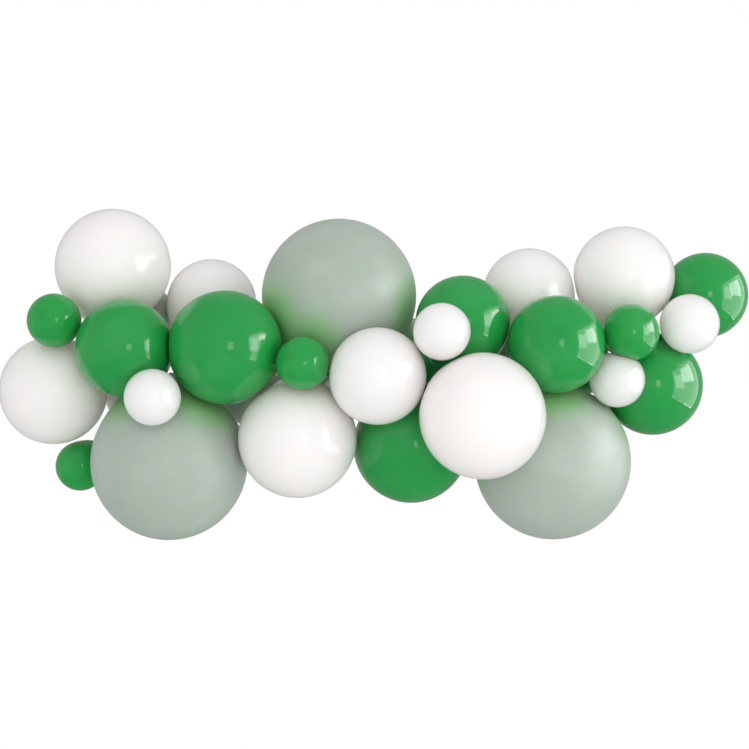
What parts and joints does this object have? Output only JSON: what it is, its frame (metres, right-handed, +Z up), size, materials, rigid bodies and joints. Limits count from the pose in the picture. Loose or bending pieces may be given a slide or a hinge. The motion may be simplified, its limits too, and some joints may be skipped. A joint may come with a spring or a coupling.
{
  "type": "balloon garland",
  "caption": "Organic garland of round latex balloons in white, green and pale sage, tied along a punched strip that hangs from a wall by a flat tab at each end.",
  "frame": {"origin": "middle of the flat back of the strip's left tab, where it lies on the wall beside its hook hole", "axes": "+X along the garland to the viewer's right, +Y back into the wall, +Z up"},
  "size_m": [1.6361, 0.5246, 0.7181],
  "materials": {
    "white_latex": "satin",
    "green_latex": "glossy",
    "sage_latex": "matt with a faint sheen",
    "clear_plastic_strip": "glossy, slightly milky",
    "clear_glue_dot": "soft, clear"
  },
  "bodies": {
    "root": {"hanging_strip": "clear_plastic_strip", "sage_large_left": "sage_latex", "sage_large_top": "sage_latex", "sage_large_right": "sage_latex", "white_top_left": "white_latex", "white_far_left": "white_latex", "white_low_middle": "white_latex", "white_front": "white_latex", "green_middle_left": "green_latex", "green_low_middle": "green_latex", "white_back_left": "white_latex", "white_middle": "white_latex", "white_back_right": "white_latex", "white_top_right": "white_latex", "green_left": "green_latex", "green_upper_middle": "green_latex", "green_middle_right": "green_latex", "green_lower_right": "green_latex", "green_far_right": "green_latex", "white_small_right": "white_latex", "glue_dot_white_small_right": "clear_glue_dot", "white_small_far_right": "white_latex", "glue_dot_white_small_far_right": "clear_glue_dot", "green_small_right": "green_latex", "glue_dot_green_small_right": "clear_glue_dot", "white_small_left": "white_latex", "glue_dot_white_small_left": "clear_glue_dot", "white_small_middle": "white_latex", "glue_dot_white_small_middle": "clear_glue_dot", "green_small_far_left": "green_latex", "glue_dot_green_small_far_left": "clear_glue_dot", "green_small_low_left": "green_latex", "glue_dot_green_small_low_left": "clear_glue_dot", "green_small_middle": "green_latex", "glue_dot_green_small_middle": "clear_glue_dot", "sage_behind_left": "sage_latex", "white_behind_far_left": "white_latex", "glue_dot_white_behind_far_left": "clear_glue_dot", "sage_behind_top_left": "sage_latex", "glue_dot_sage_behind_top_left": "clear_glue_dot", "white_behind_middle": "white_latex", "glue_dot_white_behind_middle": "clear_glue_dot", "sage_behind_middle": "sage_latex", "glue_dot_sage_behind_middle": "clear_glue_dot", "green_behind_middle": "green_latex", "glue_dot_green_behind_middle": "clear_glue_dot", "sage_behind_right": "sage_latex", "glue_dot_sage_behind_right": "clear_glue_dot", "green_behind_right": "green_latex", "glue_dot_green_behind_right": "clear_glue_dot"}
  },
  "joints": []
}
